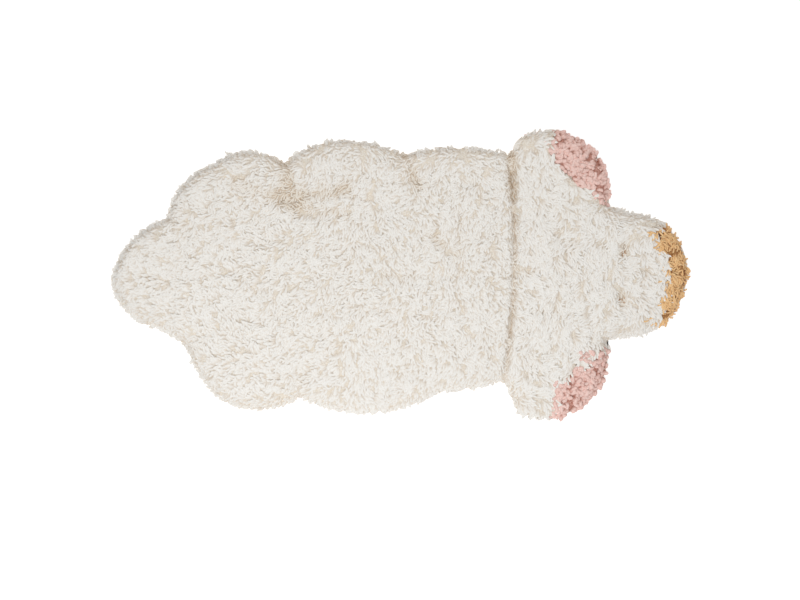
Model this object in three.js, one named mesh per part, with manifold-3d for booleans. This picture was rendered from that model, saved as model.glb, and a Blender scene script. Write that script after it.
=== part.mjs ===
// A child's rug in the outline of a woolly animal lying flat: a cream shag body with scalloped
// edges, a head sewn to its neck, pink pile inside both ears and tan pile on the tip of the muzzle.
// Millimetres, +Z up. The rug lies on z = 0 with the head towards +X and its left ear towards +Y.
// The origin is the middle of the rug on the floor.
import * as THREE from "three";
import { mergeVertices } from "three/addons/utils/BufferGeometryUtils.js";
import Module from "manifold-3d";

const wasm = await Module();
wasm.setup();

// Driving sizes
const BODY_HEIGHT = 34; // cloth and combed pile at the middle of the body
const HEAD_HEIGHT = 37; // the head's pile is a little fuller
const PATCH_RISE = 2; // coloured yarn stands this much above the cream around it
const RIM_HEIGHT = 11; // upright edge where the pile starts to turn over
const RIM_ROLL = 36; // how far in from the edge the pile turns over
const LOCK_REACH = 8; // how far the locks stand out past the edge of the slab
const LOCK_PITCH = 13; // from one rim lock to the next
const SEAM_GAP = 0.35; // left free between two pieces that are sewn together
const SEAM_ROLL = 15; // how far each pile rolls down into a seam
const SEAM_DROP = 15; // how deep the pile rolls down there
const NECK_BULGE = 18; // the neck seam bows this far towards the muzzle

// The edge is a chain of scallops. Each row gives where a scallop ends and how far it bulges.
const tailTip = [-696, -9];
const neckLeft = [268, 293];
const neckRight = [254, -256];
const muzzleTip = [699, 2];

const bodyLeftEdge = [
  { to: [-560, 137], bulge: 29 },
  { to: [-452, 267], bulge: 25 },
  { to: [-276, 269], bulge: 31 },
  { to: [-160, 326], bulge: 12 },
  { to: [13, 291], bulge: 12 },
  { to: neckLeft, bulge: 18 },
];
const bodyRightEdge = [
  { to: [-577, -130], bulge: 28 },
  { to: [-517, -170], bulge: -1 },
  { to: [-441, -294], bulge: 7 },
  { to: [-239, -294], bulge: 31 },
  { to: [95, -283], bulge: 44 },
  { to: neckRight, bulge: 4 },
];
const headLeftEdge = [
  { to: [290, 334], bulge: -4 },
  { to: [506, 172], bulge: 85 },
  { to: [590, 149], bulge: -7 },
  { to: [650, 119], bulge: 1 },
  { to: muzzleTip, bulge: 14 },
];
const headRightEdge = [
  { to: [286, -331], bulge: -3 },
  { to: [502, -159], bulge: 87 },
  { to: [585, -145], bulge: -4 },
  { to: [645, -117], bulge: -1 },
  { to: muzzleTip, bulge: 11 },
];

// Inner edge of each coloured patch, from one side of the rug's edge to the other.
const leftEarSeam = { from: [373, 352], corner: [362, 285], bulge: 6, to: [503, 171] };
const rightEarSeam = { from: [371, -349], corner: [359, -282], bulge: 6, to: [499, -162] };
const muzzleSeam = { from: [606, 131], to: [598, -124], bulge: 40 };

// Partings, where the pile lies lower along a line: valleys run in from the notches between
// scallops, one long parting crosses the left flank, and two short ones mark closed eyes.
const partings = [
  { from: [-276, 272], to: [-262, 182], depth: 9, width: 24 },
  { from: [-395, 216], to: [-262, 182], depth: 7, width: 20 },
  { from: [-262, 182], to: [-125, 208], depth: 7, width: 22 },
  { from: [-240, 154], to: [-120, 152], depth: 5, width: 18 },
  { from: [13, 290], to: [42, 214], depth: 7, width: 20 },
  { from: [70, 112], to: [130, 50], depth: 4, width: 24 },
  { from: [-560, 138], to: [-505, 108], depth: 6, width: 20 },
  { from: [-517, -170], to: [-455, -128], depth: 4, width: 20 },
  { from: [-240, -297], to: [-228, -225], depth: 5, width: 22 },
  { from: [270, 300], to: [276, 196], depth: 9, width: 17 },
  { from: [541, 50], to: [539, 70], depth: 8, width: 12 },
  { from: [538, -50], to: [540, -70], depth: 8, width: 12 },
];

// Small maths on the plan

const minus = (a, b) => [a[0] - b[0], a[1] - b[1]];
const mix = (a, b, t) => [a[0] + (b[0] - a[0]) * t, a[1] + (b[1] - a[1]) * t];
const length = (a) => Math.hypot(a[0], a[1]);
const smooth = (t) => t * t * (3 - 2 * t);
const clamp01 = (t) => Math.min(1, Math.max(0, t));

// A repeatable random number from 0 to 1 for a whole-number place and a seed.
function chance(i, j, seed) {
  const s = Math.sin(i * 127.1 + j * 311.7 + seed * 74.7) * 43758.5453;
  return s - Math.floor(s);
}

// Points of an arc from a to b that bulges to the given side: +1 is to the left of the way along.
function arc(a, b, bulge, side, steps) {
  const chord = minus(b, a);
  const half = length(chord) / 2;
  const middle = mix(a, b, 0.5);
  const left = [-chord[1] / (2 * half), chord[0] / (2 * half)];
  const turn = 2 * Math.atan(bulge / half);
  const radius = Math.abs(turn) < 1e-6 ? 0 : half / Math.sin(turn);
  const points = [];
  for (let k = 1; k <= steps; k++) {
    const angle = turn * (1 - (2 * k) / steps);
    const along = radius ? -radius * Math.sin(angle) : half * ((2 * k) / steps - 1);
    const out = radius * (Math.cos(angle) - Math.cos(turn)) * side;
    points.push([
      middle[0] + (chord[0] / (2 * half)) * along + left[0] * out,
      middle[1] + (chord[1] / (2 * half)) * along + left[1] * out,
    ]);
  }
  return points;
}

// A chain of scallops as a fine line, with its total length and a function that walks along it.
function edgeChain(start, scallops, side) {
  const STEPS = 24;
  const points = [start];
  for (const { to, bulge } of scallops) points.push(...arc(points.at(-1), to, bulge, side, STEPS));
  const reached = [0];
  for (let k = 1; k < points.length; k++) {
    reached.push(reached[k - 1] + length(minus(points[k], points[k - 1])));
  }
  const total = reached.at(-1);
  // The point at a share of the chain's length, moved inwards by inset.
  const at = (share, inset = 0) => {
    const distance = clamp01(share) * total;
    let k = 1;
    while (k < points.length - 1 && reached[k] < distance) k++;
    const span = reached[k] - reached[k - 1];
    const point = mix(points[k - 1], points[k], (distance - reached[k - 1]) / span);
    const way = minus(points[k], points[k - 1]);
    const outward = [(-way[1] / span) * side, (way[0] / span) * side];
    return { point: [point[0] - outward[0] * inset, point[1] - outward[1] * inset], outward };
  };
  return { at, total };
}

function distanceToSegment(p, a, b) {
  const way = minus(b, a);
  const t = clamp01(((p[0] - a[0]) * way[0] + (p[1] - a[1]) * way[1]) / (way[0] ** 2 + way[1] ** 2));
  return length(minus(p, mix(a, b, t)));
}

function distanceToLine(p, line) {
  let best = Infinity;
  for (let k = 1; k < line.length; k++) best = Math.min(best, distanceToSegment(p, line[k - 1], line[k]));
  return best;
}

// Height of the pile

// Rounded clumps with creases between them: 1 on a clump's crown and 0 in the deepest crease.
function clumps(x, y, pitch, seed) {
  const column = Math.floor(x / pitch);
  const row = Math.floor(y / pitch);
  let nearest = Infinity;
  for (let i = column - 1; i <= column + 1; i++) {
    for (let j = row - 1; j <= row + 1; j++) {
      const crownX = (i + 0.15 + 0.7 * chance(i, j, seed)) * pitch;
      const crownY = (j + 0.15 + 0.7 * chance(i, j, seed + 1)) * pitch;
      nearest = Math.min(nearest, Math.hypot(x - crownX, y - crownY));
    }
  }
  return clamp01(1 - (nearest / pitch) ** 2);
}

const COARSE_CLUMP = { pitch: 78, rise: 12, seed: 3 };
const FINE_CLUMP = { pitch: 46, rise: 8, seed: 8 };

function pileHeight(point, height, freeEdges, seam) {
  const [x, y] = point;
  const fromEdge = Math.min(...freeEdges.map((line) => distanceToLine(point, line)));
  const roll = 1 - clamp01(fromEdge / RIM_ROLL);
  let z = RIM_HEIGHT + (height - RIM_HEIGHT) * Math.sqrt(1 - roll * roll);
  const inland = clamp01(fromEdge / RIM_ROLL);
  for (const { pitch, rise, seed } of [COARSE_CLUMP, FINE_CLUMP]) {
    z += inland * rise * (clumps(x, y, pitch, seed) - 0.7);
  }
  for (const { from, to, depth, width } of partings) {
    z -= inland * depth * Math.exp(-((distanceToSegment(point, from, to) / width) ** 2));
  }
  const fromSeam = clamp01(distanceToLine(point, seam) / SEAM_ROLL);
  z -= inland * SEAM_DROP * (1 - Math.sqrt(1 - (1 - fromSeam) ** 2));
  return Math.max(z, RIM_HEIGHT);
}

// Solids

function solidFrom(positions, triangles) {
  const loose = new THREE.BufferGeometry();
  loose.setAttribute("position", new THREE.Float32BufferAttribute(positions, 3));
  loose.setIndex(triangles);
  const merged = mergeVertices(loose, 1e-3);
  const corners = merged.index.array;
  const kept = [];
  for (let k = 0; k < corners.length; k += 3) {
    const [a, b, c] = corners.slice(k, k + 3);
    if (a !== b && b !== c && c !== a) kept.push(a, b, c);
  }
  return new wasm.Manifold(
    new wasm.Mesh({
      numProp: 3,
      vertProperties: merged.attributes.position.array,
      triVerts: new Uint32Array(kept),
    }),
  );
}

// Shares of the way across a panel, packed closer towards both edges where the pile turns over.
function across(count) {
  return Array.from({ length: count + 1 }, (_, k) => {
    const even = k / count;
    const packed = (1 - Math.cos(Math.PI * even)) / 2;
    return 0.15 * even + 0.85 * packed;
  });
}

// Triangles of the level underside inside a loop of points, facing down.
function underside(loop, positions) {
  const outline = loop.map((k) => new THREE.Vector2(positions[3 * k], positions[3 * k + 1]));
  return THREE.ShapeUtils.triangulateShape(outline, []).flatMap(([a, b, c]) => {
    const turn = (outline[b].x - outline[a].x) * (outline[c].y - outline[a].y)
      - (outline[b].y - outline[a].y) * (outline[c].x - outline[a].x);
    return turn > 0 ? [loop[a], loop[c], loop[b]] : [loop[a], loop[b], loop[c]];
  });
}

// A lumpy slab between two edges. Rows cross it from the right edge to the left one. The row at
// the neck follows the bowed seam and the row at the far end closes on the tip. With evened rows
// the middle of each row is moved to an even spacing from the neck to the tip.
function slab({ left, right, rows, columns, height, tipAtStart, evened }) {
  const neckShare = tipAtStart ? 1 : 0;
  const tipShare = 1 - neckShare;
  const gapSide = tipAtStart ? -0.5 : 0.5;
  const rowShares = rows.map((fromTip) => (tipAtStart ? fromTip : 1 - fromTip)).sort((a, b) => a - b);
  const shares = across(columns);
  const end = columns;
  const last = rowShares.length - 1;
  const tip = mix(left.at(tipShare, LOCK_REACH).point, right.at(tipShare, LOCK_REACH).point, 0.5);
  const neckFrom = [neckRight[0], neckRight[1] + LOCK_REACH];
  const neckTo = [neckLeft[0], neckLeft[1] - LOCK_REACH];
  const ends = (share) => {
    if (share === tipShare) return [tip, tip];
    if (share === neckShare) return [neckFrom, neckTo];
    return [right.at(share, LOCK_REACH).point, left.at(share, LOCK_REACH).point];
  };
  const place = (share, t) => {
    const [a, b] = ends(share);
    const [x, y] = mix(a, b, t);
    const fromNeck = Math.abs(share - neckShare);
    const middleX = mix(mix(neckFrom, neckTo, 0.5), tip, fromNeck)[0];
    const toMiddle = evened * (1 - (2 * t - 1) ** 4) * (middleX - (a[0] + b[0]) / 2);
    const nearNeck = smooth(clamp01(1 - fromNeck / 0.3));
    return [x + toMiddle + nearNeck * (NECK_BULGE * 4 * t * (1 - t) + gapSide * SEAM_GAP), y];
  };
  const edgeLine = (t) => rowShares.map((share) => place(share, t));
  const freeEdges = [edgeLine(0), edgeLine(1)];
  const seam = shares.map((t) => place(neckShare, t));
  const positions = [];
  for (const share of rowShares) {
    for (const t of shares) {
      const point = place(share, t);
      positions.push(...point, pileHeight(point, height, freeEdges, seam), ...point, 0);
    }
  }
  const index = (i, j, layer) => (i * shares.length + j) * 2 + layer;
  const triangles = [];
  for (let i = 0; i < last; i++) {
    for (let j = 0; j < end; j++) {
      const [a, b, c, d] = [index(i, j, 0), index(i + 1, j, 0), index(i + 1, j + 1, 0), index(i, j + 1, 0)];
      triangles.push(a, b, c, a, c, d);
    }
  }
  const loop = [];
  for (let i = 0; i < last; i++) loop.push(index(i, 0, 1));
  for (let j = 0; j < end; j++) loop.push(index(last, j, 1));
  for (let i = last; i > 0; i--) loop.push(index(i, end, 1));
  for (let j = end; j > 0; j--) loop.push(index(0, j, 1));
  const same = (a, b) => positions[3 * a] === positions[3 * b] && positions[3 * a + 1] === positions[3 * b + 1];
  const outline = loop.filter((k, at) => !same(k, loop.at(at - 1)));
  triangles.push(...underside(outline, positions));
  outline.forEach((k, at) => {
    const before = outline.at(at - 1);
    triangles.push(before, k, k - 1, before, k - 1, before - 1);
  });
  return solidFrom(positions, triangles);
}

// One lock of yarn at the rim: a three-sided strand with a level underside that leans outwards
// from a root inside the slab and ends in a point.
function lock(edge, share, upper, seed) {
  const { point, outward } = edge.at(share, LOCK_REACH);
  const sideways = [-outward[1], outward[0]];
  const lean = (chance(seed, 1, 5) - 0.5) * 9;
  const reach = LOCK_REACH + 1 + 4 * (chance(seed, 2, 5) - 0.5);
  const half = (upper ? 4.6 : 5.4) + 1.2 * chance(seed, 3, 5);
  const levels = upper
    ? [
        { out: -17, base: 15, top: 25, drift: 0, half },
        { out: 3, base: 9.5, top: 17, drift: 0.4, half: half * 0.9 },
        { out: reach - 1, base: 5, top: 5, drift: 1, half: 0 },
      ]
    : [
        { out: -9, base: 0.5, top: 9.5, drift: 0, half },
        { out: 4, base: 0.5, top: 7.5, drift: 0.4, half: half * 0.9 },
        { out: reach, base: 0.5, top: 0.5, drift: 1, half: 0 },
      ];
  const positions = [];
  const at = ({ out, drift }, offset, z) =>
    positions.push(
      point[0] + outward[0] * out + sideways[0] * (lean * drift + offset),
      point[1] + outward[1] * out + sideways[1] * (lean * drift + offset),
      z,
    );
  for (const level of levels.slice(0, 2)) {
    at(level, -level.half, level.base);
    at(level, level.half, level.base);
    at(level, 0, level.top);
  }
  at(levels[2], 0, levels[2].base);
  const triangles = [0, 2, 1, 3, 4, 6, 4, 5, 6, 5, 3, 6];
  for (const [a, b] of [[0, 1], [1, 2], [2, 0]]) triangles.push(a, b, b + 3, a, b + 3, a + 3);
  return solidFrom(positions, triangles);
}

// Locks at even steps along an edge, low and high ones by turns, with the plan place of each.
function locksAlong(edge, seed, from, to) {
  const count = Math.round((edge.total * (to - from)) / LOCK_PITCH);
  return Array.from({ length: count }, (_, k) => {
    const share = from + ((to - from) * (k + 0.5)) / count;
    return { root: edge.at(share, LOCK_REACH + 8).point, solid: lock(edge, share, k % 2 === 1, seed + k) };
  });
}

// An upright block over an outline on the plan, used to cut the coloured patches from the head.
function block(outline) {
  const top = 100;
  const shape = new THREE.Shape(outline.map(([x, y]) => new THREE.Vector2(x, y)));
  const geometry = new THREE.ExtrudeGeometry(shape, { depth: 2 * top, bevelEnabled: false });
  geometry.translate(0, 0, -top);
  geometry.deleteAttribute("normal");
  geometry.deleteAttribute("uv");
  const whole = geometry.index ? geometry.toNonIndexed() : geometry;
  return solidFrom([...whole.attributes.position.array], [...Array(whole.attributes.position.count).keys()]);
}

// The outline of an ear's patch: its seam, then far round the outside of the ear.
function earPatch({ from, corner, bulge, to }, sign) {
  const outside = [
    [520, 174 * sign],
    [620, 260 * sign],
    [560, 420 * sign],
    [384, 420 * sign],
  ];
  const turn = minus(corner, from);
  const start = mix(from, corner, -40 / length(turn));
  return [start, corner, ...arc(corner, to, bulge, -sign, 8), ...outside];
}

function muzzlePatch({ from, to, bulge }) {
  return [from, ...arc(from, to, bulge, 1, 12), [640, -220], [820, -220], [820, 220], [640, 220]];
}

const shift = (outline, [dx, dy]) => outline.map(([x, y]) => [x + dx, y + dy]);
const inside = (outline, [x, y]) =>
  outline.reduce((is, [ax, ay], k) => {
    const [bx, by] = outline.at(k - 1);
    return ay > y !== by > y && x < ((bx - ax) * (y - ay)) / (by - ay) + ax ? !is : is;
  }, false);
const nearSeam = (point, outline, gap) => distanceToLine(point, [...outline, outline[0]]) < gap;

// Rows along a panel, with more of them close to both ends where the pile rolls down.
const rowsTo = (count) => [
  0,
  0.25 / count,
  0.6 / count,
  ...Array.from({ length: count - 1 }, (_, k) => (k + 1) / count),
  1 - 0.6 / count,
  1 - 0.25 / count,
  1,
];

const bodyLeft = edgeChain(tailTip, bodyLeftEdge, 1);
const bodyRight = edgeChain(tailTip, bodyRightEdge, -1);
const headLeft = edgeChain(neckLeft, headLeftEdge, 1);
const headRight = edgeChain(neckRight, headRightEdge, -1);

const bodySlab = slab({
  left: bodyLeft,
  right: bodyRight,
  rows: rowsTo(50),
  columns: 30,
  height: BODY_HEIGHT,
  tipAtStart: true,
  evened: 0,
});
const headSlab = (extra) =>
  slab({
    left: headLeft,
    right: headRight,
    rows: rowsTo(32),
    columns: 26,
    height: HEAD_HEIGHT + extra,
    tipAtStart: false,
    evened: 1,
  });

const bodyLocks = [...locksAlong(bodyLeft, 100, 0.003, 0.985), ...locksAlong(bodyRight, 400, 0.003, 0.985)];
const headLocks = [...locksAlong(headLeft, 700, 0.03, 0.997), ...locksAlong(headRight, 900, 0.03, 0.997)];

const patches = [
  { name: "ear_patch_left", outline: earPatch(leftEarSeam, 1), shrink: [0.4, 0.35], color: 0xd9a79c },
  { name: "ear_patch_right", outline: earPatch(rightEarSeam, -1), shrink: [0.4, -0.35], color: 0xd9a79c },
  { name: "muzzle_patch", outline: muzzlePatch(muzzleSeam), shrink: [SEAM_GAP, 0], color: 0xd0a06a },
];

const union = (first, locks) => wasm.Manifold.union([first, ...locks.map(({ solid }) => solid)]);
const away = ({ root }) => !patches.some(({ outline }) => inside(outline, root) || nearSeam(root, outline, 9));
const creamHead = union(
  patches.reduce((head, { outline }) => head.subtract(block(outline)), headSlab(0)),
  headLocks.filter(away),
);

const CREAM = 0xe6e0d5;

function mesh(name, solid, color) {
  const { vertProperties, triVerts } = solid.getMesh();
  const geometry = new THREE.BufferGeometry();
  geometry.setAttribute("position", new THREE.BufferAttribute(vertProperties, 3));
  geometry.setIndex(new THREE.BufferAttribute(triVerts, 1));
  geometry.computeVertexNormals();
  const made = new THREE.Mesh(
    geometry,
    new THREE.MeshStandardMaterial({ color, roughness: 0.95, metalness: 0 }),
  );
  made.name = name;
  return made;
}

const rug = new THREE.Group();
rug.add(mesh("body_pile", union(bodySlab, bodyLocks), CREAM));
rug.add(mesh("head_pile", creamHead, CREAM));
for (const { name, outline, shrink, color } of patches) {
  const cutter = block(shift(outline, shrink));
  const own = headLocks.filter(({ root }) => inside(outline, root) && !nearSeam(root, outline, 9));
  rug.add(mesh(name, union(headSlab(PATCH_RISE).intersect(cutter), own), color));
}

// The plan places above are near the middle of the rug; this puts the middle exactly at the origin.
const middle = new THREE.Box3().setFromObject(rug).getCenter(new THREE.Vector3());
for (const piece of rug.children) piece.geometry.translate(-middle.x, -middle.y, 0);

export default rug;
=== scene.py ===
"""A child's shag rug in the outline of a woolly animal, seen from straight above on a pale floor.

Lengths in the tables are millimetres on the plan, as in the part's source; meshes are in metres.
"""

import math

import bpy
import numpy as np
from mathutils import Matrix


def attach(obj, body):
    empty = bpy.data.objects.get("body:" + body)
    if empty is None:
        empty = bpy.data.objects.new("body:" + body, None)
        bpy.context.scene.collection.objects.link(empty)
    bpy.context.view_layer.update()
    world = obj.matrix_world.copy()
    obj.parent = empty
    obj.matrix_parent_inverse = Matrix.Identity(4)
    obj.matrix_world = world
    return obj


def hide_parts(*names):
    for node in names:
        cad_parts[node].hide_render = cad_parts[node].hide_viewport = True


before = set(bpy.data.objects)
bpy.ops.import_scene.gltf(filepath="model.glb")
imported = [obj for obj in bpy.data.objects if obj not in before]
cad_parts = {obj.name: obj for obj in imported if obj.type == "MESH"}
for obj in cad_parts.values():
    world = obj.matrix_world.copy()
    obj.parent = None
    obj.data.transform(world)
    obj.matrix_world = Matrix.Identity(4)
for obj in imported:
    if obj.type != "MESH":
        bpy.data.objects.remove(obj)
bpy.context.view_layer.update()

# Sizes of the rug, the same as those of its solids
MIDDLE = np.array([2.55, 1.99])  # the tables' origin is this far from the middle of the rug
BODY_HEIGHT = 34
HEAD_HEIGHT = 37
PATCH_RISE = 2
RIM_HEIGHT = 11
RIM_ROLL = 36
LOCK_REACH = 8
EDGE_HEIGHT = 3.0  # the pile's height at the outline itself
SEAM_ROLL = 15
SEAM_DROP = 15
NECK_BULGE = 18
COARSE_CLUMP = (78, 12, 3)  # pitch, rise, seed
FINE_CLUMP = (46, 8, 8)
TUFT = (23, 6, 31)  # knots of strands, finer than the solids show
TUFT_STRAY = 26  # how far slow drift moves the tufts' middles
TUFT_DRIFT = 105  # pitch of that drift

TAIL_TIP = (-696, -9)
NECK_LEFT = (268, 293)
NECK_RIGHT = (254, -256)
MUZZLE_TIP = (699, 2)

# Scallops of the edge: where each ends, and how far it bulges
BODY_LEFT = [
    ((-560, 137), 29),
    ((-452, 267), 25),
    ((-276, 269), 31),
    ((-160, 326), 12),
    ((13, 291), 12),
    (NECK_LEFT, 18),
]
BODY_RIGHT = [
    ((-577, -130), 28),
    ((-517, -170), -1),
    ((-441, -294), 7),
    ((-239, -294), 31),
    ((95, -283), 44),
    (NECK_RIGHT, 4),
]
HEAD_LEFT = [((290, 334), -4), ((506, 172), 85), ((590, 149), -7), ((650, 119), 1), (MUZZLE_TIP, 14)]
HEAD_RIGHT = [((286, -331), -3), ((502, -159), 87), ((585, -145), -4), ((645, -117), -1), (MUZZLE_TIP, 11)]

# Inner edges of the coloured patches: from, corner, bulge, to
LEFT_EAR_SEAM = ((373, 352), (362, 285), 6, (503, 171))
RIGHT_EAR_SEAM = ((371, -349), (359, -282), 6, (499, -162))
MUZZLE_SEAM = ((606, 131), (598, -124), 40)
TAN_HALF_WIDTH = 112  # tan strands start no further than this from the line through the muzzle's tip
CHEEK_START = 560  # ahead of here cream pile covers the corners of the muzzle's patch

EAR_EDGE = [(314, 331), (344, 341), (376, 347)]  # thin pink yarn shows along this rim
EYES = [(541, 60), (538, -59)]
EYE_STITCHES = [(-2, -5), (1, -1), (-1, 3), (2, 6)]  # where stitches start, from the middle of an eye

# Partings of the pile: from, to, depth, width
PARTINGS = [
    ((-276, 272), (-262, 182), 9, 24),
    ((-395, 216), (-262, 182), 7, 20),
    ((-262, 182), (-125, 208), 7, 22),
    ((-240, 154), (-120, 152), 5, 18),
    ((13, 290), (42, 214), 7, 20),
    ((70, 112), (130, 50), 4, 24),
    ((-560, 138), (-505, 108), 6, 20),
    ((-517, -170), (-455, -128), 4, 20),
    ((-240, -297), (-228, -225), 5, 22),
    ((270, 300), (276, 196), 9, 17),
    ((541, 50), (539, 70), 8, 12),
    ((538, -50), (540, -70), 8, 12),
]

CLOTH = 2.0  # thickness of the cloth that the pile is sewn through
NAP = 1.2  # how far the middles of the strands lie below the pile's surface


# Numbers on the plan


def mix(a, b, t):
    """a at t = 0 and b at t = 1, and evenly between them."""
    return a + (b - a) * t


def smooth(t):
    """0 to 1 with level ends: 3t^2 - 2t^3, t held between 0 and 1."""
    t = np.clip(t, 0, 1)
    return t * t * (3 - 2 * t)


def chance(i, j, seed):
    """A repeatable number from 0 to 1 for whole i and j: the fraction of 43758.5453 times a sine."""
    s = np.sin(i * 127.1 + j * 311.7 + seed * 74.7) * 43758.5453
    return s - np.floor(s)


def drift(x, y, pitch, seed):
    """Slow noise from -1 to 1: chances at the corners of a square grid, blended smoothly between."""
    i, j = np.floor(x / pitch), np.floor(y / pitch)
    u, v = smooth(x / pitch - i), smooth(y / pitch - j)
    low = mix(chance(i, j, seed), chance(i + 1, j, seed), u)
    high = mix(chance(i, j + 1, seed), chance(i + 1, j + 1, seed), u)
    return 2 * mix(low, high, v) - 1


def nearest_crown(x, y, pitch, seed):
    """The nearest clump's middle and the distance to it; one middle is strewn in each grid square."""
    i, j = np.floor(x / pitch), np.floor(y / pitch)
    best = np.full(np.shape(x), np.inf)
    crown_x, crown_y = np.zeros_like(best), np.zeros_like(best)
    for di in (-1, 0, 1):
        for dj in (-1, 0, 1):
            cx = (i + di + 0.15 + 0.7 * chance(i + di, j + dj, seed)) * pitch
            cy = (j + dj + 0.15 + 0.7 * chance(i + di, j + dj, seed + 1)) * pitch
            away = np.hypot(x - cx, y - cy)
            closer = away < best
            best = np.where(closer, away, best)
            crown_x, crown_y = np.where(closer, cx, crown_x), np.where(closer, cy, crown_y)
    return crown_x, crown_y, best


def arc(a, b, bulge, side, steps=24):
    """Points of a circular arc from a to b that stands bulge off its chord, to the left for side 1."""
    a, b = np.array(a, float), np.array(b, float)
    half = np.linalg.norm(b - a) / 2
    along = (b - a) / (2 * half)
    left = np.array([-along[1], along[0]])
    turn = 2 * math.atan(bulge / half)
    angle = turn * (1 - 2 * np.arange(1, steps + 1) / steps)
    radius = half / math.sin(turn)
    forward = -radius * np.sin(angle)
    out = radius * (np.cos(angle) - math.cos(turn)) * side
    return (a + b) / 2 + np.outer(forward, along) + np.outer(out, left)


def scalloped(start, scallops, side):
    """One line through a chain of arcs."""
    line = [np.array([start], float)]
    for to, bulge in scallops:
        line.append(arc(line[-1][-1], to, bulge, side))
    return np.concatenate(line)


def walk(line, shares):
    """Points at shares of a line's length."""
    steps = np.linalg.norm(np.diff(line, axis=0), axis=1)
    reached = np.concatenate([[0], np.cumsum(steps)])
    at = np.asarray(shares) * reached[-1]
    return np.stack([np.interp(at, reached, line[:, 0]), np.interp(at, reached, line[:, 1])], axis=-1)


def distance(x, y, line):
    """Distance from each point to a line: to the nearest foot, held between its piece's ends."""
    best = np.full(np.shape(x), np.inf)
    for (ax, ay), (bx, by) in zip(line[:-1], line[1:]):
        wx, wy = bx - ax, by - ay
        t = np.clip(((x - ax) * wx + (y - ay) * wy) / (wx * wx + wy * wy + 1e-12), 0, 1)
        best = np.minimum(best, np.hypot(x - ax - t * wx, y - ay - t * wy))
    return best


def within(x, y, outline):
    """True inside a closed outline: a line to one side crosses it an odd number of times."""
    odd = np.zeros(np.shape(x), bool)
    for (ax, ay), (bx, by) in zip(outline, np.roll(outline, -1, axis=0)):
        spans = (ay > y) != (by > y)
        odd ^= spans & (x < ax + (bx - ax) * (y - ay) / (by - ay if by != ay else 1))
    return odd


def neck(shares):
    """The neck seam from right to left: a straight line with a parabola's bow towards the muzzle."""
    t = np.asarray(shares, float)[:, None]
    line = mix(np.array(NECK_RIGHT, float), np.array(NECK_LEFT, float), t)
    return line + np.hstack([4 * NECK_BULGE * t * (1 - t), 0 * t])


body_left = scalloped(TAIL_TIP, BODY_LEFT, 1)
body_right = scalloped(TAIL_TIP, BODY_RIGHT, -1)
head_left = scalloped(NECK_LEFT, HEAD_LEFT, 1)
head_right = scalloped(NECK_RIGHT, HEAD_RIGHT, -1)
neck_seam = neck(np.linspace(0, 1, 25))
outline = np.concatenate([body_left, head_left[1:], head_right[-2::-1], body_right[-2:0:-1]])

# The patches' inner edges as lines that start and end on the rug's outline


def ear_seam(seam, side):
    """Straight from the back of the ear to a corner, then an arc to where the ear meets the cheek."""
    start, corner, bulge, to = seam
    return np.concatenate([[start], [corner], arc(corner, to, bulge, -side, 12)])


left_ear_seam = ear_seam(LEFT_EAR_SEAM, 1)
right_ear_seam = ear_seam(RIGHT_EAR_SEAM, -1)
muzzle_seam = np.concatenate([[MUZZLE_SEAM[0]], arc(*MUZZLE_SEAM, 1)])


def patch_region(seam, beyond):
    """A closed outline: the seam, then far round the outside of the rug."""
    return np.concatenate([seam, np.array(beyond, float)])


left_ear = patch_region(left_ear_seam, [(520, 174), (620, 260), (560, 420), (384, 420)])
right_ear = patch_region(right_ear_seam, [(520, -174), (620, -260), (560, -420), (382, -420)])
muzzle = patch_region(muzzle_seam, [(640, -220), (820, -220), (820, 220), (640, 220)])


# Maps of the plan, looked up wherever a strand goes

PITCH = 4.0  # spacing of the maps' points
MAP_HALF_LENGTH = 760
MAP_HALF_WIDTH = 420
map_x = np.arange(-MAP_HALF_LENGTH, MAP_HALF_LENGTH + PITCH, PITCH)
map_y = np.arange(-MAP_HALF_WIDTH, MAP_HALF_WIDTH + PITCH, PITCH)
grid_x, grid_y = np.meshgrid(map_x, map_y, indexing="ij")


def look_up(field, x, y):
    """The map's value at any place, blended evenly between the four nearest points."""
    u = np.clip((x - map_x[0]) / PITCH, 0, len(map_x) - 1.001)
    v = np.clip((y - map_y[0]) / PITCH, 0, len(map_y) - 1.001)
    i, j = u.astype(int), v.astype(int)
    low = mix(field[i, j], field[i + 1, j], u - i)
    high = mix(field[i, j + 1], field[i + 1, j + 1], u - i)
    return mix(low, high, v - j)


inside = within(grid_x, grid_y, outline)
inward = distance(grid_x, grid_y, np.vstack([outline, outline[:1]])) * np.where(inside, 1, -1)
to_neck = distance(grid_x, grid_y, neck_seam)
neck_x = np.interp(grid_y, neck_seam[:, 1], neck_seam[:, 0])
in_head = smooth((grid_x - neck_x) / 4 + 0.5)
in_patch = np.zeros_like(grid_x)
for region in (left_ear, right_ear, muzzle):
    in_patch = np.maximum(in_patch, within(grid_x, grid_y, region))
# The pile is ruffled at the middle and on the head, and lies calmer towards the tail and the right side
ruffled = np.maximum(smooth((grid_x + 580) / 320) * smooth((grid_y + 250) / 250), in_head)


def clumps(x, y, pitch, rise, seed):
    """Height that clumps add: a parabola round each one's middle, less most of its height."""
    away = nearest_crown(x, y, pitch, seed)[2]
    return rise * (np.clip(1 - (away / pitch) ** 2, 0, 1) - 0.7)


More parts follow.
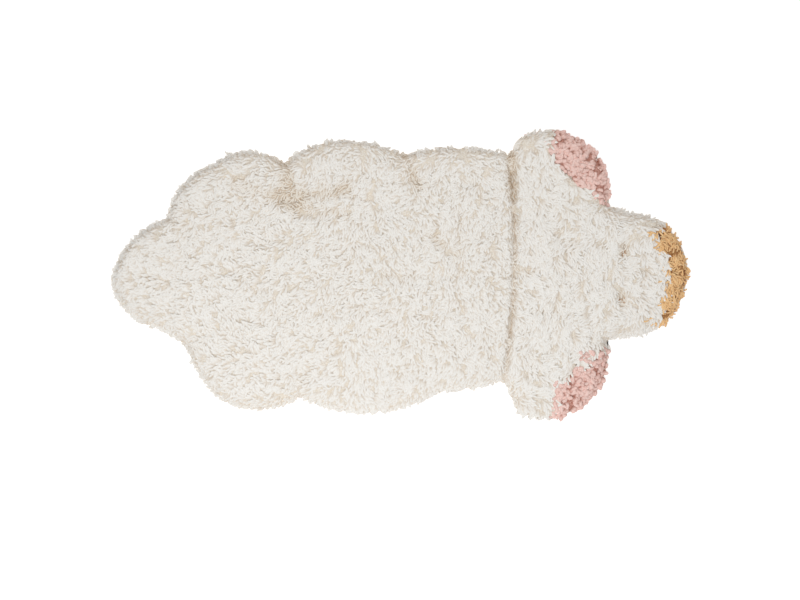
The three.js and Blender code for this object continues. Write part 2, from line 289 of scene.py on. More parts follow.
def pile_top():
    """Height of the pile's surface: level inland, a quarter ellipse down to the rim, a fall to the floor.

    Clumps add to it, and so do tufts, smaller clumps whose middles stray by slow drift. Partings and
    the neck's seam, bells across a line, take away. The second map is 1 in the hollows that these
    leave and 0 on the crowns; it counts the clumps' own hollows less, and more where pile is ruffled,
    and adds a band along the neck's seam. It sets where the yarn's colour gets painted shade.
    """
    height = mix(BODY_HEIGHT, HEAD_HEIGHT, in_head) + PATCH_RISE * in_patch
    inland = np.clip((inward - LOCK_REACH) / RIM_ROLL, 0, 1)
    z = RIM_HEIGHT + (height - RIM_HEIGHT) * np.sqrt(1 - (1 - inland) ** 2)
    clumped = clumps(grid_x, grid_y, *COARSE_CLUMP) + clumps(grid_x, grid_y, *FINE_CLUMP)
    strayed_x = grid_x + TUFT_STRAY * drift(grid_x, grid_y, TUFT_DRIFT, 51)
    strayed_y = grid_y + TUFT_STRAY * drift(grid_x, grid_y, TUFT_DRIFT, 52)
    uneven = clumped + clumps(strayed_x, strayed_y, *TUFT)
    for start, end, depth, width in PARTINGS:
        away = distance(grid_x, grid_y, np.array([start, end], float))
        uneven -= depth * np.exp(-((away / width) ** 2))
    uneven *= 1 - 0.6 * in_patch
    z += inland * uneven
    z -= inland * SEAM_DROP * np.exp(-((to_neck / (0.55 * SEAM_ROLL)) ** 2))
    z = np.maximum(z, RIM_HEIGHT)
    # painted shade: the yarn is darkened where this map is high, in hollows and along the neck's seam
    hollows = smooth((2 - uneven + 0.6 * clumped) / 12)
    hollows *= 0.3 + 0.95 * ruffled
    hollows += 0.8 * np.exp(-((to_neck / 7) ** 2))
    return mix(EDGE_HEIGHT, z, np.clip(inward / LOCK_REACH, 0, 1)), np.clip(hollows, 0, 1)


top, hollow_shade = pile_top()
out_x, out_y = (-slope for slope in np.gradient(inward, PITCH))


# Meshes


def new_piece(name, points, faces, smooth_shaded=True):
    """A mesh object from points in millimetres and rows of corners.

    A row whose last place is -1 is a triangle.
    """
    mesh = bpy.data.meshes.new(name)
    points = np.asarray(points, float).reshape(-1, 3)
    points = (points - np.array([*MIDDLE, 0])) / 1000
    counts = (faces >= 0).sum(axis=1)
    corners = faces[faces >= 0]
    mesh.vertices.add(len(points))
    mesh.vertices.foreach_set("co", points.astype(np.float32).ravel())
    mesh.loops.add(len(corners))
    mesh.loops.foreach_set("vertex_index", corners.astype(np.int32))
    mesh.polygons.add(len(faces))
    mesh.polygons.foreach_set("loop_start", (np.cumsum(counts) - counts).astype(np.int32))
    mesh.polygons.foreach_set("use_smooth", np.full(len(faces), smooth_shaded))
    mesh.update(calc_edges=True)
    mesh.validate()
    piece = bpy.data.objects.new(name, mesh)
    bpy.context.scene.collection.objects.link(piece)
    return piece


def mark(piece, name, values):
    """Keeps one number for each point of a piece, for its material to read."""
    attribute = piece.data.attributes.new(name, "FLOAT", "POINT")
    attribute.data.foreach_set("value", np.asarray(values, np.float32).ravel())


def slab_faces(rows, columns):
    """Faces of a closed slab whose top points come first and bottom points second, row by row."""
    index = np.arange(rows * columns).reshape(rows, columns)
    under = index + rows * columns
    a, b, c, d = index[:-1, :-1], index[1:, :-1], index[1:, 1:], index[:-1, 1:]
    faces = [np.stack([a, b, c, d], -1).reshape(-1, 4)]
    a, b, c, d = under[:-1, :-1], under[:-1, 1:], under[1:, 1:], under[1:, :-1]
    faces.append(np.stack([a, b, c, d], -1).reshape(-1, 4))
    loop = np.concatenate([index[:-1, 0], index[-1, :-1], index[:0:-1, -1], index[0, :0:-1]])
    after = np.roll(loop, -1)
    below = loop + rows * columns
    faces.append(np.stack([loop, below, np.roll(below, -1), after], -1))
    return np.concatenate(faces)


def ruled(left, right, rows, columns, evened=0.0, bow=0.0, inset=0.0):
    """A sheet of points between two edges: straight rows from the right edge to the left one.

    Evened rows have their middles moved to an even spacing, by a quartic that fades to the edges.
    A bow adds the neck seam's parabola to the rows within 30% of the end where the edges part.
    """
    share = np.linspace(0, 1, rows)
    across = np.linspace(0, 1, columns)
    t = (0.15 * across + 0.85 * (1 - np.cos(np.pi * across)) / 2)[None, :, None]
    a, b = walk(right, share)[:, None], walk(left, share)[:, None]
    width = np.linalg.norm(b - a, axis=2, keepdims=True)
    pull = np.minimum(inset / np.maximum(width, 1e-6), 0.5)
    sheet = mix(a, b, pull + (1 - 2 * pull) * t)
    middle = (a + b)[..., 0] / 2
    even = mix(middle[0], middle[-1], share[:, None])
    sheet[..., 0] += evened * (1 - (2 * t[..., 0] - 1) ** 4) * (even - middle)
    parted = share[::-1] if width[0, 0, 0] > width[-1, 0, 0] else share
    near = smooth(1 - (1 - parted) / 0.3)[:, None]
    sheet[..., 0] += bow * near * 4 * t[..., 0] * (1 - t[..., 0])
    return sheet


def slab(name, sheet, upper, lower):
    """A closed slab over a sheet of points, between an upper and a lower height."""
    rows, columns = sheet.shape[:2]
    high = np.concatenate([sheet, np.broadcast_to(upper, sheet.shape[:2])[..., None]], -1)
    low = np.concatenate([sheet, np.broadcast_to(lower, sheet.shape[:2])[..., None]], -1)
    return new_piece(name, np.stack([high, low]), slab_faces(rows, columns), smooth_shaded=False)


# Strands of yarn

RIM_TURN = (6, 40)  # strands turn outwards in full this near the outline, and not at all this far in
CUT_WITHIN = 80  # strands that start further in than this aren't cut at the outline
END_SPREAD = 6.5  # how unevenly their cut ends stand along the outline
SHORTEST = 6  # length of a strand that is cut shortest
ROOT_MARGIN = 3  # strands start this far inside the outline


def strewn(pitch, region, seed):
    """Places strewn one to each square of a grid, each moved at random within it, that lie in a region."""
    rows = np.arange(-MAP_HALF_LENGTH // pitch, MAP_HALF_LENGTH // pitch)
    columns = np.arange(-MAP_HALF_WIDTH // pitch, MAP_HALF_WIDTH // pitch)
    i, j = (axis.ravel() for axis in np.meshgrid(rows, columns))
    x = (i + 0.5 + 0.9 * (chance(i, j, seed) - 0.5)) * pitch
    y = (j + 0.5 + 0.9 * (chance(i, j, seed + 1) - 0.5)) * pitch
    kept = region(x, y) & (look_up(inward, x, y) > ROOT_MARGIN)
    return x[kept], y[kept]


def lay_angle(x, y):
    """Which way the combed pile lies, in radians, before its small disorder.

    Towards the tail at the rear and across the rug near the neck and on the head, by a smooth turn,
    with slow drift added.
    """
    forward = smooth((x + 450) / 340)
    rear = math.pi + np.arctan2(y, 520) * 1.1
    front = -math.pi / 2 - 0.4 * smooth((240 - x) / 80) + 0.3 * drift(x, y, 150, 21)
    return mix(rear, front + 2 * math.pi, forward) + 0.5 * drift(x, y, 95, 22)


def courses(x, y, seed, look, own):
    """Strands' middle lines, with the shares along them, lengths, half widths and half thicknesses.

    A strand starts sunk below the pile's surface and follows it. Its heading is the pile's lay at the
    middle of its lock, plus a steady curl and a sine wave that its whole lock shares, and its tip is
    drawn towards the lock's own line. A lock is crowned: a strand lies lower by the square of its
    distance from that line. At the rim it turns outwards and is cut to end near the outline. Its
    width rises and then tapers along it, less so where it is blunt.
    """
    lock = look["lock"]
    crown_x, crown_y, _ = nearest_crown(x, y, lock, seed + 40)
    shared = [chance(crown_x, crown_y, seed + k) * 2 - 1 for k in range(6)]

    def each(low_high, k):
        """A number for each strand: between low and high, partly its own and partly its lock's."""
        low, high = low_high
        return mix(low, high, 0.5 + 0.5 * np.clip(mix(own[k], shared[k], look["together"]), -1, 1))

    away = look_up(inward, x, y)
    heading = lay_angle(crown_x, crown_y) + look["sweep"] * drift(crown_x, crown_y, lock * 1.7, seed + 50)
    heading += look["disorder"] * shared[5] + look["jitter"] * own[5]
    outward = np.arctan2(look_up(out_y, x, y), look_up(out_x, x, y))
    near, far = RIM_TURN
    rim = smooth(1 - (away - near) / (far - near))
    turn = (outward - heading + np.pi) % (2 * np.pi) - np.pi
    heading += rim * turn * mix(*look["outward"], 0.5 + 0.5 * own[6])

    reach = each(look["length"], 0)
    facing = np.cos(heading - outward) * np.clip(1 - away / CUT_WITHIN, 0, 1)
    room = (away - 0.5 + END_SPREAD * own[7]) / np.maximum(facing, 0.05)
    reach = np.minimum(reach, np.maximum(room, SHORTEST))

    s = np.interp(np.linspace(0, 1, look["rings"]), [0, 0.5, 0.83, 1], [0, 0.52, 0.92, 1])
    bend = each((-look["curl"], look["curl"]), 1)[:, None] * (s - 0.25)
    sway = look["wave"] * np.sin(2 * np.pi * (s * 1.15 + each((0, 1), 2)[:, None]))
    course = heading[:, None] + bend + sway
    step = reach[:, None] * np.diff(s, prepend=0)
    px = x[:, None] + np.cumsum(np.cos(course) * step, axis=1)
    py = y[:, None] + np.cumsum(np.sin(course) * step, axis=1)
    along = np.stack([np.cos(heading), np.sin(heading)])
    side = -(x - crown_x) * along[1] + (y - crown_y) * along[0]
    drawn = look["gather"] * smooth(s)
    px += drawn * (side * along[1])[:, None]
    py -= drawn * (side * along[0])[:, None]

    profile = np.interp(s, [0, 0.2, 0.5, 0.8, 0.92, 1], [0.2, 0.85, 1, 0.88, 0.6, 0.2])
    profile += look["blunt"] * (1 - profile) * smooth((s - 0.5) * 2.5)
    wide = each(look["half_width"], 3)[:, None] * profile
    thick = wide * look["flat"]
    z = look_up(top, px, py) - NAP - look["sink"] * (1 - s) ** 2 - thick
    z += each(look["lift"], 4)[:, None] * smooth(s * 1.6)
    z -= (look["crown"] * np.minimum((2 * side / lock) ** 2, 1.5))[:, None] * (1 - 0.6 * s)
    z = np.maximum(z, thick + 0.3)
    return np.stack([px, py, z], -1), s, reach, wide, thick


def tube_faces(sides, rings):
    """Corners of a closed tube's faces: quads between rings, then triangles at the tip and the root.

    Its points are its rings in turn, all but the last, which is one point at the tip.
    """
    k = np.arange(sides)
    after = (k + 1) % sides
    level = np.arange(rings - 2)[:, None] * sides
    quads = np.stack([level + k, level + sides + k, level + sides + after, level + after], -1)
    last = (rings - 2) * sides
    tips = np.stack([last + k, np.full(sides, last + sides), last + after, np.full(sides, -1)], -1)
    root = np.stack([k[1:-1] * 0, k[1:-1], k[1:-1] + 1, np.full(sides - 2, -1)], -1)
    return np.concatenate([quads.reshape(-1, 4), tips, root])


def on_points(values, sides):
    """Values along strands, passed on to every point of the rings and to the tips."""
    return np.concatenate([np.repeat(values[:, :-1], sides, axis=1), values[:, -1:]], axis=1)


def keep_normals(piece, one, across, above, ruffle, look):
    """Keeps a normal for each corner of the strands' faces.

    It is the way up from the strand, leant towards the side on which the corner lies, and raised
    towards the sky because loose fibres scatter light. Faces underneath look down from the strand.
    """
    section = np.array(look["section"])
    count, rings = across.shape[:2]
    sides = len(section)
    spread = across[:, :-1, None] * (look["lean"] * section[:, 0])[:, None]
    spread *= ruffle[:, None, None, None]
    spread = np.concatenate([spread.reshape(count, -1, 3), 0 * above[:, -1:]], axis=1)
    under = (section[:, 1] + np.roll(section[:, 1], -1) < -0.5).astype(float)
    under = np.concatenate([np.tile(under, rings - 1), np.zeros(sides - 2)])
    corner = one[one >= 0]
    beneath = np.repeat(under, (one >= 0).sum(axis=1))[:, None]
    kept = on_points(above, sides)[:, corner] * (1 - 2 * beneath) + spread[:, corner]
    kept[..., 2] += look["raised"] * (1 - beneath[:, 0])
    kept = kept.reshape(-1, 3)
    kept /= np.linalg.norm(kept, axis=1, keepdims=True) + 1e-9
    piece.data.normals_split_custom_set(kept.tolist())


def strands(name, x, y, seed, look):
    """Strands of yarn that lie on the pile in locks, as closed tubes that end in a point.

    A section, ridged or round, is carried along each strand's course, as wide and as thick as the
    strand is there. Each point keeps how far along and around its strand it lies, how near the
    section's lower edge, the strand's own tone, its length so far in centimetres, and the hollow
    map's value. Its finish paints shade by the lower edge, the root and that map.
    """
    rng = np.random.default_rng(seed)
    count = len(x)
    own = rng.random((8, count)) * 2 - 1
    section = np.array(look["section"])
    sides, rings = len(section), look["rings"]
    centre, s, reach, wide, thick = courses(x, y, seed, look, own)
    way = np.gradient(centre, axis=1)
    way /= np.linalg.norm(way, axis=2, keepdims=True) + 1e-9
    across = np.cross(way, [0, 0, 1.0])
    across /= np.linalg.norm(across, axis=2, keepdims=True) + 1e-9
    above = np.cross(across, way)
    ring = (
        centre[:, :-1, None]
        + across[:, :-1, None] * (wide[:, :-1, None] * section[:, 0])[..., None]
        + above[:, :-1, None] * (thick[:, :-1, None] * section[:, 1])[..., None]
    )
    points = np.concatenate([ring.reshape(count, -1, 3), centre[:, -1:]], axis=1)
    per = points.shape[1]
    one = tube_faces(sides, rings)
    faces = one[None] + (np.arange(count) * per)[:, None, None]
    faces = np.where(one[None] < 0, -1, faces).reshape(-1, 4)
    piece = new_piece(name, points, faces)
    ruffle = 0.45 + 0.67 * look_up(ruffled, x, y)
    keep_normals(piece, one, across, above, ruffle, look)

    share = np.concatenate([np.repeat(s[:-1], sides), [1.0]])
    around = np.concatenate([np.tile(np.arange(sides) / sides, rings - 1), [0.5]])
    edge = np.concatenate([np.tile(0.5 - 0.5 * section[:, 1], rings - 1), [0.4]])
    tone = rng.random(count)[:, None]
    for word, values in (("reach", share), ("around", around), ("edge", edge), ("tone", tone)):
        mark(piece, word, np.broadcast_to(values, (count, per)))
    mark(piece, "run", share[None] * reach[:, None] / 10)
    mark(piece, "hollow_shade", on_points(look_up(hollow_shade, centre[..., 0], centre[..., 1]), sides))
    return piece


# Finishes


class Wire:
    """A socket's output; arithmetic on it adds Math nodes to its material."""

    def __init__(self, finish, socket):
        self.finish = finish
        self.socket = socket

    def _math(self, operation, a, b):
        return self.finish.add("ShaderNodeMath", {"operation": operation}, {0: a, 1: b})

    def __add__(self, other):
        return self._math("ADD", self, other)

    __radd__ = __add__

    def __sub__(self, other):
        return self._math("SUBTRACT", self, other)

    def __rsub__(self, other):
        return self._math("SUBTRACT", other, self)

    def __mul__(self, other):
        return self._math("MULTIPLY", self, other)

    __rmul__ = __mul__

    def __pow__(self, other):
        return self._math("POWER", self, other)

    def sine(self):
        return self.finish.add("ShaderNodeMath", {"operation": "SINE"}, {0: self})


class Finish:
    """A material, to which one method adds any node."""

    def __init__(self, name):
        self.material = bpy.data.materials.new(name)
        self.material.use_nodes = True
        self.tree = self.material.node_tree
        self.tree.nodes.clear()

    def add(self, kind, settings=None, sockets=None, output=0):
        """Adds a node: its settings first, then a value or a link for each named socket."""
        node = self.tree.nodes.new(kind)
        for key, value in (settings or {}).items():
            setattr(node, key, value)
        for key, value in (sockets or {}).items():
            if isinstance(value, Wire):
                self.tree.links.new(value.socket, node.inputs[key])
            else:
                node.inputs[key].default_value = value
        return Wire(self, node.outputs[output])

    def number(self, name):
        """A number kept on the piece's points."""
        return self.add("ShaderNodeAttribute", {"attribute_name": name}, output="Fac")

    def place(self, scale=(1, 1, 1)):
        """Where a point is on its piece, in metres, stretched by scale."""
        at = self.add("ShaderNodeTexCoord", output="Object")
        return self.add("ShaderNodeMapping", {}, {"Vector": at, "Scale": scale})

    def ramp(self, value, low, high):
        """0 up to low and 1 from high, with level ends."""
        sockets = {"Value": value, "From Min": low, "From Max": high}
        return self.add("ShaderNodeMapRange", {"interpolation_type": "SMOOTHSTEP"}, sockets)

    def noise(self, where, scale, detail, distortion=0.0):
        """Cloudy noise from 0 to 1."""
        sockets = {"Vector": where, "Scale": scale, "Detail": detail, "Distortion": distortion}
        return self.add("ShaderNodeTexNoise", {}, sockets)

    def bump(self, height, strength, depth):
        """Relief by height, with a depth in metres."""
        return self.add("ShaderNodeBump", {}, {"Strength": strength, "Distance": depth, "Height": height})

    def blend(self, share, a, b, how="MIX"):
        """Colour a at share 0 and b at share 1."""
        settings = {"data_type": "RGBA", "blend_type": how}
        return self.add("ShaderNodeMix", settings, {"Factor": share, 6: a, 7: b}, output=2)

    def close(self, **sockets):
        """Ends the material in one shader and the output; a socket's name has _ for each space."""
        named = {key.replace("_", " "): value for key, value in sockets.items()}
        shader = self.add("ShaderNodeBsdfPrincipled", {}, named)
        output = self.tree.nodes.new("ShaderNodeOutputMaterial")
        self.tree.links.new(shader.socket, output.inputs["Surface"])
        return self.material


def rgb(red, green, blue):
    """A colour for a socket, from the shares of red, green and blue light it sends back."""
    return (red, green, blue, 1.0)


def yarn_finish(name, look):
    """Cotton yarn: its root colour, painted shade, blended to mid where it has risen.

    Its own tone and fibres blend its risen top towards the lighter tip colour: partly tone, partly painted
    highlight.
    Its edges blend towards deep, painted shade, most of all in the pile's hollows, where a tint of
    painted shade multiplies it all.
    Fine fibres run along a strand as stretched noise, and its plies wind round it as a sine. Fluff
    turns the surface's way partly upwards, because loose fibres scatter light round a strand.
    """
    finish = Finish(name)
    reach, tone, edge = finish.number("reach"), finish.number("tone"), finish.number("edge")
    around, run, low = finish.number("around"), finish.number("run"), finish.number("hollow_shade")
    along = finish.add("ShaderNodeCombineXYZ", {}, {0: around * 7.0, 1: run * 1.1, 2: tone * 40.0})
    fibre = finish.noise(along, 1.0, 3.0)
    # painted shade: near its root a strand takes its darker root colour, where shade falls among the roots
    risen = finish.ramp(reach, 0.05, look["risen_at"])
    shade = finish.blend(risen, rgb(*look["root"]), rgb(*look["mid"]))
    # painted shade along the section's lower edges, stronger in the pile's hollows
    edge_shade_share = look["crevices"] + (1.3 - look["crevices"]) * low
    shade = finish.blend(finish.ramp(edge, *look["edges"]) * edge_shade_share, shade, rgb(*look["deep"]))
    # towards the lighter tip colour by the strand's own tone and fibres on its risen top: partly tone,
    # partly painted highlight
    tone_and_highlight = (tone * 0.5 + fibre * 0.6) * risen * (1.0 - edge)
    shade = finish.blend(tone_and_highlight, shade, rgb(*look["tip"]))
    # painted shade: a tint multiplies the colour in the pile's hollows
    shade = finish.blend(low**1.5, shade, rgb(*look["hollow_shade"]), "MULTIPLY")
    turns = (around + run * look["ply"]) * (4 * math.pi)
    bump = finish.bump(turns.sine() * 0.5 + fibre, 0.5, look["ply_depth"] / 1000)
    fluff = look["fluff"]
    parts = {0: bump, 1: (1 - fluff, 1 - fluff, 1 - fluff), 2: (0, 0, fluff)}
    fuzz = finish.add("ShaderNodeVectorMath", {"operation": "MULTIPLY_ADD"}, parts)
    return finish.close(
        Base_Color=shade,
        Roughness=0.85 + fibre * 0.1,
        Normal=finish.add("ShaderNodeVectorMath", {"operation": "NORMALIZE"}, {0: fuzz}),
        Specular_IOR_Level=0.15,
    )


def underpile_finish(name, deep, mid):
    """The dense lower pile seen down between strands, darker as painted shade: swirled yarn about 5 mm
    apart.
    """
    finish = Finish(name)
    place = finish.place()
    swirl = finish.ramp(finish.noise(place, 170.0, 2.0, 1.6), 0.38, 0.62)
    grain = finish.noise(place, 700.0, 3.0)
    shade = finish.blend(swirl, rgb(*deep), rgb(*mid))
    bump = finish.bump(swirl + grain * 0.3, 0.5, 0.0015)
    return finish.close(Base_Color=shade, Roughness=0.95, Normal=bump, Specular_IOR_Level=0.1)


def cloth_finish(name, warp, weft):
    """Plain cotton canvas: two sets of threads 1.6 mm apart, over and under in turn, with slubs."""
    finish = Finish(name)
    pitch = 2 * math.pi / 0.0032
    place = finish.place()
    x, y = (finish.add("ShaderNodeSeparateXYZ", {}, {"Vector": place}, output) for output in ("X", "Y"))
    over = (x * pitch).sine() * (y * pitch).sine()
    slub = finish.noise(finish.place((60, 900, 1)), 1.0, 3.0)
    shade = finish.blend(over * 0.5 + 0.5, rgb(*warp), rgb(*weft))
    shade = finish.blend(slub * 0.4, shade, rgb(0.62, 0.52, 0.4))
    bump = finish.bump(over + slub, 0.6, 0.0006)
    return finish.close(Base_Color=shade, Roughness=0.9, Normal=bump, Specular_IOR_Level=0.2)


# Yarns; lengths are millimetres.
#   deep, root, mid, tip: colours of sunk edges and of a strand's root, both painted shade; of its
#   middle; and of its lighter tip, partly painted highlight
#   hollow_shade: tint of painted shade in the pile's hollows
#   risen_at: share of a strand's length by which it has its middle colour, past its painted root shade
#   edges, crevices: where the painted shade on a section's edge begins and ends, and its strength
#   outside the hollows
#   ply, ply_depth: winds of the plies in a centimetre, and their depth
#   fluff: share by which the surface's way is turned upwards
CREAM_YARN = {
    "deep": (0.54, 0.385, 0.25),
    "root": (0.68, 0.585, 0.48),
    "mid": (0.885, 0.86, 0.815),
    "tip": (0.92, 0.905, 0.88),
    "hollow_shade": (0.93, 0.89, 0.83),
    "risen_at": 0.95,
    "edges": (0.15, 1.05),
    "crevices": 0.3,
    "ply": 0.3,
    "ply_depth": 0.4,
    "fluff": 0.2,
}
PINK_YARN = {
    "deep": (0.32, 0.09, 0.04),
    "root": (0.32, 0.09, 0.04),
    "mid": (0.88, 0.575, 0.51),
    "tip": (0.93, 0.71, 0.65),
    "hollow_shade": (0.8, 0.66, 0.62),
    "risen_at": 0.65,
    "edges": (0.1, 0.75),
    "crevices": 1.0,
    "ply": 1.0,
    "ply_depth": 1.2,
    "fluff": 0.1,
}
TAN_YARN = {
    "deep": (0.25, 0.07, 0.02),
    "root": (0.25, 0.07, 0.02),
    "mid": (0.95, 0.56, 0.245),
    "tip": (0.98, 0.72, 0.41),
    "hollow_shade": (0.78, 0.57, 0.44),
    "risen_at": 0.65,
    "edges": (0.03, 0.66),
    "crevices": 1.0,
    "ply": 1.6,
    "ply_depth": 0.8,
    "fluff": 0.1,
}
EYE_YARN = {
    **TAN_YARN,
    "deep": (0.3, 0.13, 0.05),
    "root": (0.3, 0.13, 0.05),
    "mid": (0.48, 0.25, 0.12),
    "tip": (0.6, 0.35, 0.18),
    "hollow_shade": (1, 1, 1),
    "edges": (0.1, 0.7),
}
cream_yarn = yarn_finish("cream_yarn", CREAM_YARN)
pink_yarn = yarn_finish("pink_yarn", PINK_YARN)
tan_yarn = yarn_finish("tan_yarn", TAN_YARN)
eye_yarn = yarn_finish("eye_yarn", EYE_YARN)
# the lower piles are darker and warmer than their yarns: painted shade seen down between strands
cream_underpile = underpile_finish("cream_underpile", (0.79, 0.7, 0.58), (0.89, 0.84, 0.77))
pink_underpile = underpile_finish("pink_underpile", (0.46, 0.19, 0.14), (0.66, 0.38, 0.32))
tan_underpile = underpile_finish("tan_underpile", (0.34, 0.15, 0.05), (0.56, 0.29, 0.12))
canvas = cloth_finish("canvas", (0.66, 0.6, 0.5), (0.72, 0.67, 0.58))


def dress(piece, finish, slot_name, *nodes):
    """Gives a piece its material, ties it to the rug's body, and hides the solids it stands for."""
    piece.data.materials.append(finish)
    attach(piece, "root")
    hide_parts(*nodes)
    return piece


# The cream lower pile

CLOTH_INSET = 9  # how far the cloth's edge lies inside the rug's outline
PILE_INSET = 3
PATCH_INSET = 6
CREAM_SINK = 2.3  # how far the lower pile lies below the middles of the strands
PATCH_SINK = 4
PATCH_RECESS = 9  # how much lower the cream lies under a patch

pieces = {}


def beside_muzzle(x, y):
    """True beside the tan pile, where cream pile covers the corners of the muzzle's patch."""
    return (x > CHEEK_START) & (np.abs(y - MUZZLE_TIP[1]) > TAN_HALF_WIDTH + 2)


def lay_mat(name, sheet, sink, finish, slot_name, node):
    """The lower pile over a sheet of the plan, sunk below the pile's surface."""
    above = look_up(top, sheet[..., 0], sheet[..., 1]) - NAP - sink
    upper = np.maximum(above, CLOTH + 1.5)
    pieces[name] = dress(slab(name, sheet, upper, CLOTH + 0.2), finish, slot_name, node)


body_sheet = ruled(body_left, body_right, 190, 91, bow=NECK_BULGE, inset=PILE_INSET)
head_sheet = ruled(head_left, head_right, 110, 91, evened=1.0, bow=NECK_BULGE, inset=PILE_INSET)
head_x, head_y = head_sheet[..., 0], head_sheet[..., 1]
under_patch = look_up(in_patch, head_x, head_y) * ~beside_muzzle(head_x, head_y)
head_sink = CREAM_SINK + PATCH_RECESS * under_patch
lay_mat("lower_pile_body", body_sheet, CREAM_SINK, cream_underpile, "cream_pile", "body_pile")
lay_mat("lower_pile_head", head_sheet, head_sink, cream_underpile, "cream_pile", "head_pile")


# The strands


def lay_strands(name, places, seed, look, finish, slot_name, node):
    """One piece of strands, with their roots at places."""
    pieces[name] = dress(strands(name, *places, seed, look), finish, slot_name, node)


def in_cream_body(x, y):
    """True behind the neck's seam."""
    return look_up(in_head, x, y) < 0.5


def in_cream_head(x, y):
    """True ahead of the neck's seam, outside the patches or beside the tan pile."""
    return (look_up(in_head, x, y) >= 0.5) & ((look_up(in_patch, x, y) < 0.5) | beside_muzzle(x, y))


def in_tan_pile(x, y):
    """True in the muzzle's patch, except at its corners."""
    return within(x, y, muzzle) & (np.abs(y - MUZZLE_TIP[1]) < TAN_HALF_WIDTH)


def round_section(sides):
    """Corners of a regular section, counter-clockwise from the side."""
    turn = 2 * np.pi * np.arange(sides) / sides
    return tuple(zip(np.cos(turn), np.sin(turn)))


RIDGE = ((1, -0.6), (0, 1), (-1, -0.6))  # a section that is flat below and has one corner above

# Looks of strands; pairs are the least and the most, lengths are millimetres and turns are radians.
#   pitch: how far apart they start
#   length, half_width, flat: sizes, and thickness as a share of width
#   section, rings: corners of the section, and at how many places along a strand it stands
#   lean, raised: how far kept normals lean to the sides, and how far they are raised
#   curl, wave: steady turn along a strand, and sway of its sine wave
#   sweep, disorder, jitter: turns of the heading by slow drift, by lock and by strand
#   together: share of a strand's numbers that its lock sets
#   lock, gather, crown: width of a lock, share by which tips are drawn together, drop at its sides
#   sink, lift: how far the root lies below the surface, and the tip above it
#   outward: share of the turn outwards that is made at the rim
#   blunt: 0 for a tapered end and 1 for a full one
CREAM = {
    "pitch": 5.6,
    "length": (19, 33),
    "half_width": (2.9, 4.5),
    "flat": 0.28,
    "section": RIDGE,
    "rings": 6,
    "lean": 1.05,
    "raised": 0.4,
    "curl": 1.7,
    "wave": 0.5,
    "sweep": 0.9,
    "disorder": 0.55,
    "jitter": 0.45,
    "together": 0.6,
    "lock": 17,
    "gather": 0.15,
    "crown": 0.0,
    "sink": 4.5,
    "lift": (-0.8, 2.8),
    "outward": (0.4, 0.9),
    "blunt": 0.0,
}
HEAD_CREAM = {**CREAM, "length": (24, 42), "lock": 21, "jitter": 0.4, "gather": 0.2}
PINK = {
    "pitch": 6.6,
    "length": (18, 30),
    "half_width": (4.2, 6.2),
    "flat": 0.85,
    "section": round_section(6),
    "rings": 8,
    "lean": 1.5,
    "raised": 0.2,
    "curl": 2.6,
    "wave": 0.7,
    "sweep": 1.4,
    "disorder": 1.6,
    "jitter": 0.7,
    "together": 0.2,
    "lock": 24,
    "gather": 0.2,
    "crown": 1.0,
    "sink": 7,
    "lift": (-2.5, 6),
    "outward": (0.1, 0.7),
    "blunt": 0.8,
}
RIGHT_PINK = {**PINK, "lift": (-5, 7)}
THIN_PINK = {**PINK, "half_width": (1.6, 2.6), "length": (14, 20), "lift": (-3, 0)}
TAN = {
    "pitch": 4.4,
    "length": (17, 32),
    "half_width": (2.0, 2.8),
    "flat": 0.95,
    "section": round_section(5),
    "rings": 7,
    "lean": 1.7,
    "raised": 0.2,
    "curl": 1.0,
    "wave": 0.25,
    "sweep": 1.7,
    "disorder": 2.2,
    "jitter": 0.9,
    "together": 0.4,
    "lock": 19,
    "gather": 0.1,
    "crown": 1.0,
    "sink": 6,
    "lift": (-5, 6),
    "outward": (-0.2, 0.6),
    "blunt": 0.6,
}
STITCH = {**TAN, "length": (8, 12), "half_width": (0.9, 1.3), "lift": (1, 2.5), "sink": 2, "crown": 0}

# The body's strands are four pieces, each between two places along the rug
BODY_CUTS = (-800, -330, -130, 70, 400)
for k, (low, high) in enumerate(zip(BODY_CUTS[:-1], BODY_CUTS[1:])):
    places = strewn(CREAM["pitch"], lambda x, y: in_cream_body(x, y) & (x >= low) & (x < high), 11)
    lay_strands(f"body_strands_{k + 1}", places, 60, CREAM, cream_yarn, "cream_pile", "body_pile")

for word, side in (("left", 1), ("right", -1)):
    places = strewn(HEAD_CREAM["pitch"], lambda x, y: in_cream_head(x, y) & (y * side > 0), 12)
    lay_strands(f"head_strands_{word}", places, 61, HEAD_CREAM, cream_yarn, "cream_pile", "head_pile")

for word, region, seed, look in (("left", left_ear, 73, PINK), ("right", right_ear, 71, RIGHT_PINK)):
    places = strewn(look["pitch"], lambda x, y: within(x, y, region), seed)
    lay_strands(f"ear_strands_{word}", places, seed, look, pink_yarn, "pink_pile", f"ear_patch_{word}")

places = (walk(np.array(EAR_EDGE, float), np.linspace(0, 1, 12)) + [0, 1]).T
lay_strands("ear_edge_strands", places, 75, THIN_PINK, pink_yarn, "pink_pile", "head_pile")
places = strewn(TAN["pitch"], in_tan_pile, 72)
lay_strands("muzzle_strands", places, 72, TAN, tan_yarn, "tan_pile", "muzzle_patch")
places = (np.repeat(np.array(EYES, float), len(EYE_STITCHES), axis=0) + EYE_STITCHES * len(EYES)).T
lay_strands("eye_stitches", places, 77, STITCH, eye_yarn, "tan_pile", "head_pile")


# The patches' lower pile and the cloths


def patch_sheet(seam, edge):
    """A sheet of the plan between a patch's seam and the piece of the rug's edge that it cuts off."""
    near = [np.argmin(np.hypot(*(edge - seam[k]).T)) for k in (0, -1)]
    cut = edge[min(near) : max(near) + 1]
    cut = cut if near[0] < near[1] else cut[::-1]
    return ruled(cut, seam, 40, 25, inset=PATCH_INSET)


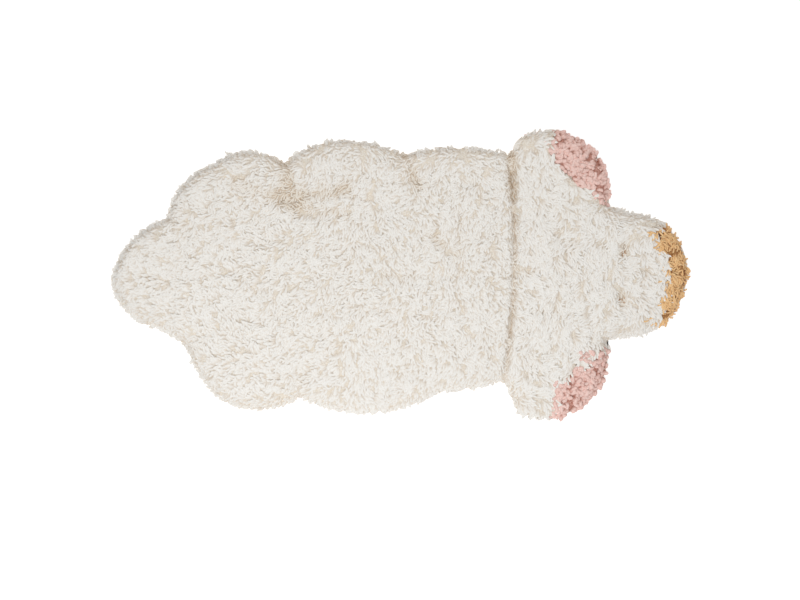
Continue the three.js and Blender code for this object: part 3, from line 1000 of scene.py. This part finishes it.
head_edge = np.concatenate([head_left, head_right[-2::-1]])
for place, seam, edge, finish, slot_name in (
    ("ear_left", left_ear_seam, head_left, pink_underpile, "pink_pile"),
    ("ear_right", right_ear_seam, head_right, pink_underpile, "pink_pile"),
    ("muzzle", muzzle_seam, head_edge, tan_underpile, "tan_pile"),
):
    node = "muzzle_patch" if place == "muzzle" else place.replace("ear", "ear_patch")
    lay_mat(f"lower_pile_{place}", patch_sheet(seam, edge), PATCH_SINK, finish, slot_name, node)

body_cloth = ruled(body_left, body_right, 60, 21, bow=NECK_BULGE, inset=CLOTH_INSET)
head_cloth = ruled(head_left, head_right, 60, 21, evened=1.0, bow=NECK_BULGE, inset=CLOTH_INSET)
for word, sheet in (("body", body_cloth), ("head", head_cloth)):
    name = f"cloth_{word}"
    cloth = dress(slab(name, sheet, CLOTH, 0.0), canvas, "cream_pile", f"{word}_pile")
    size = (sheet.reshape(-1, 2).max(axis=0) - sheet.reshape(-1, 2).min(axis=0)) / 1000
    pile = [piece for key, piece in pieces.items() if ("body" in key) == (word == "body")]

# The floor, the light, and a camera high above with a long lens

FLOOR_HALF = 30
FLOOR_DROP = 0.0005  # keeps the floor just clear of the cloth
signs = ((-1, -1), (1, -1), (1, 1), (-1, 1))
corners = [(x * FLOOR_HALF, y * FLOOR_HALF, -FLOOR_DROP) for x, y in signs]
floor_mesh = bpy.data.meshes.new("floor")
floor_mesh.from_pydata(corners, [], [(0, 1, 2, 3)])
floor = bpy.data.objects.new("floor", floor_mesh)
bpy.context.scene.collection.objects.link(floor)
pale = Finish("pale_floor")
pale.close(
    Base_Color=rgb(0.93, 0.93, 0.93),
    Roughness=0.9,
    Emission_Color=rgb(1, 1, 1),
    Emission_Strength=0.4,
)
floor_mesh.materials.append(pale.material)

world = bpy.data.worlds.new("studio")
world.use_nodes = True
sky = world.node_tree.nodes["Background"]
sky.inputs["Color"].default_value = rgb(0.97, 0.985, 1.0)
sky.inputs["Strength"].default_value = 0.4
bpy.context.scene.world = world


def soft_box(name, place, size, watts, colour):
    """A square lamp at a place, turned to face the middle of the rug."""
    data = bpy.data.lights.new(name, "AREA")
    data.shape = "SQUARE"
    data.size = size
    data.energy = watts
    data.color = colour
    lamp = bpy.data.objects.new(name, data)
    lamp.location = place
    way = -np.array(place, float)
    level = math.hypot(way[0], way[1])
    lamp.rotation_euler = (math.atan2(level, -way[2]), 0, math.atan2(-way[0], way[1]))
    bpy.context.scene.collection.objects.link(lamp)


soft_box("key", (-0.35, -1.15, 1.6), 0.8, 12.5, (0.965, 0.985, 1))
soft_box("fill", (0.3, 1.9, 1.1), 1.4, 7, (1, 0.985, 0.96))
soft_box("overhead", (0, -0.9, 6.0), 2.5, 110, (1, 0.98, 0.95))

CAMERA_HEIGHT = 5.0
VIEW_WIDTH = 1.931  # the width of floor that fills the picture from side to side
SENSOR_WIDTH = 36
camera_data = bpy.data.cameras.new("camera")
camera_data.sensor_width = SENSOR_WIDTH
camera_data.lens = SENSOR_WIDTH * CAMERA_HEIGHT / VIEW_WIDTH
camera = bpy.data.objects.new("camera", camera_data)
camera.location = (-0.0001, -0.0611, CAMERA_HEIGHT + 0.02)
bpy.context.scene.collection.objects.link(camera)
bpy.context.scene.camera = camera
bpy.context.scene.view_settings.view_transform = "Standard"
